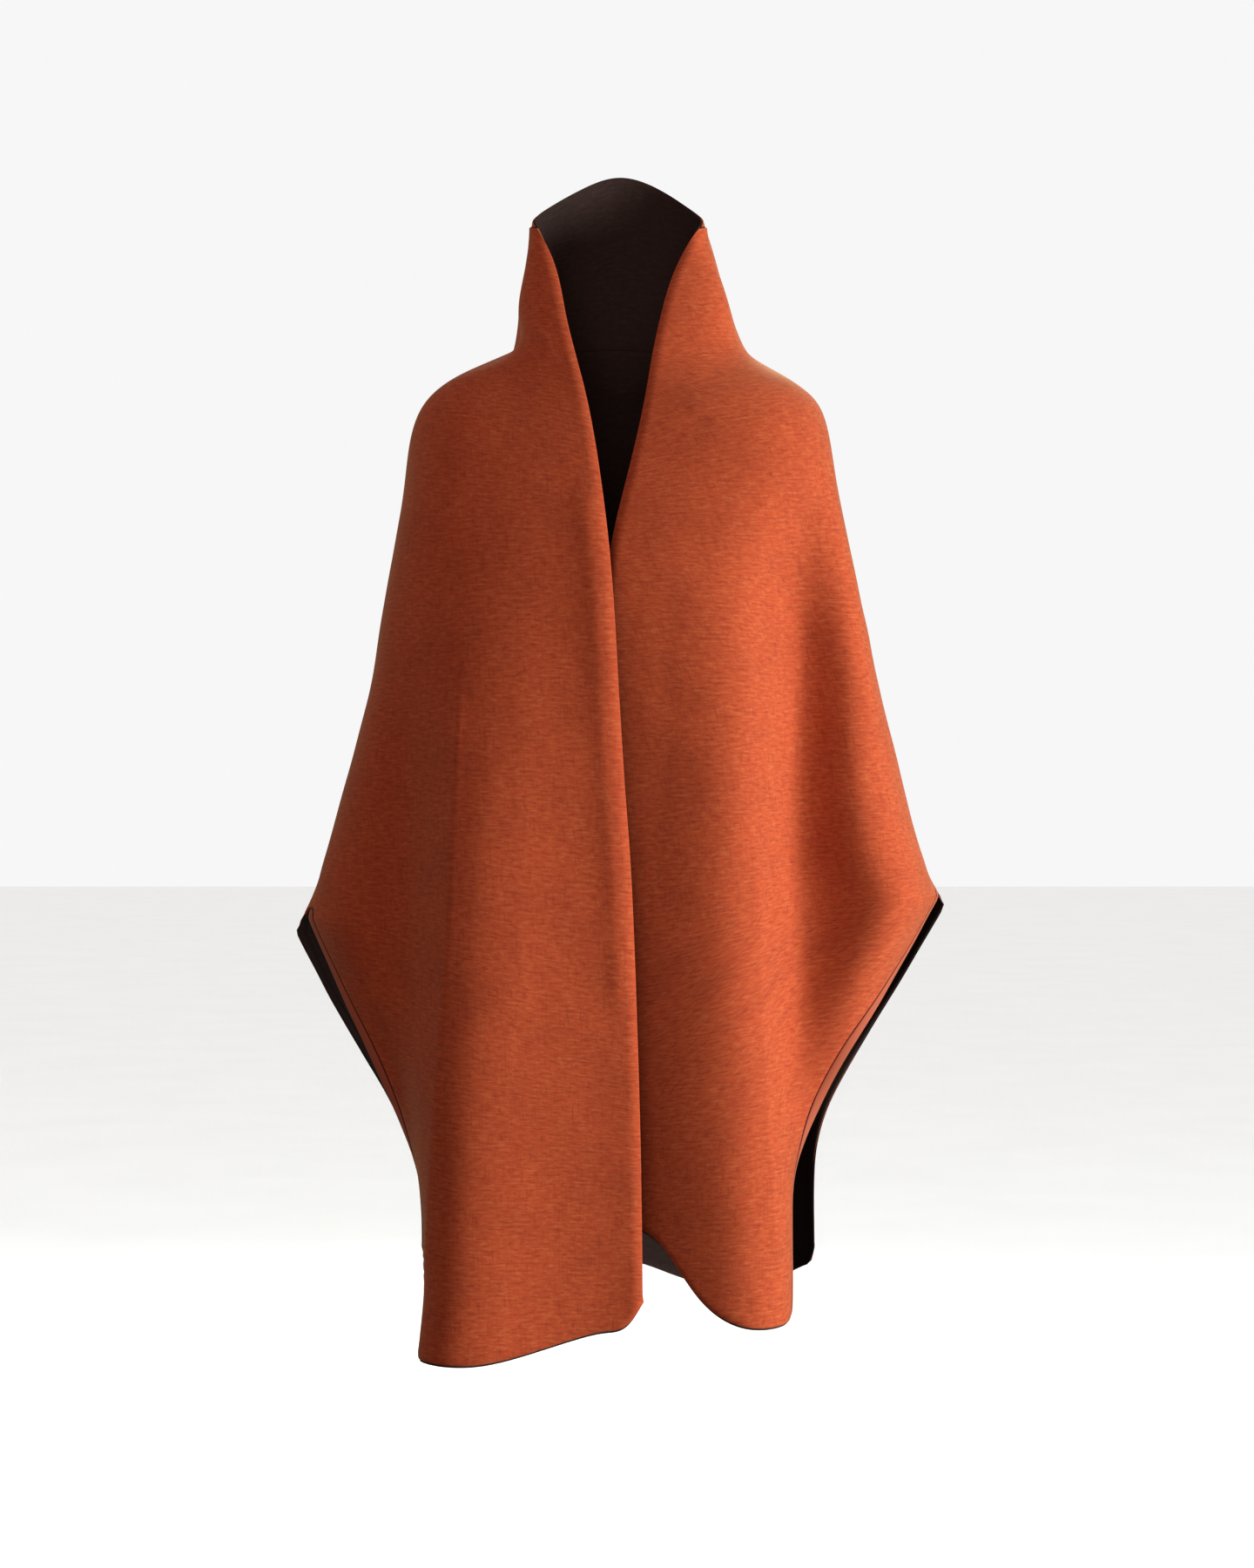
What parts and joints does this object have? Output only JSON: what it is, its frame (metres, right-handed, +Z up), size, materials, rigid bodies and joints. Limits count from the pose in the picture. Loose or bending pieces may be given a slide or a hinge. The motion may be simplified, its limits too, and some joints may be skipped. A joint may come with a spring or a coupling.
{
  "type": "reversible cape, worn form",
  "caption": "Hip-length-plus reversible wool cape with a tall stand-up collar and deep V neck, its fronts lapped and its sides falling in points at the wrists.",
  "frame": {"origin": "midway between the two neck points, at the height of the shoulder line that carries the cape", "axes": "+Z up towards the collar, -Y the way the fronts face, +X the wearer's left"},
  "size_m": [0.6092, 0.3169, 1.1067],
  "materials": {
    "rust_wool": "brushed wool face, matt with a soft nap",
    "dark_brown_wool": "brushed wool inside cloth, matt"
  },
  "bodies": {
    "root": {"front_right": "rust_wool", "front_left": "rust_wool", "back": "rust_wool", "collar_back": "rust_wool", "front_right_lining": "dark_brown_wool", "front_left_lining": "dark_brown_wool", "back_lining": "dark_brown_wool", "collar_back_lining": "dark_brown_wool"}
  },
  "joints": []
}
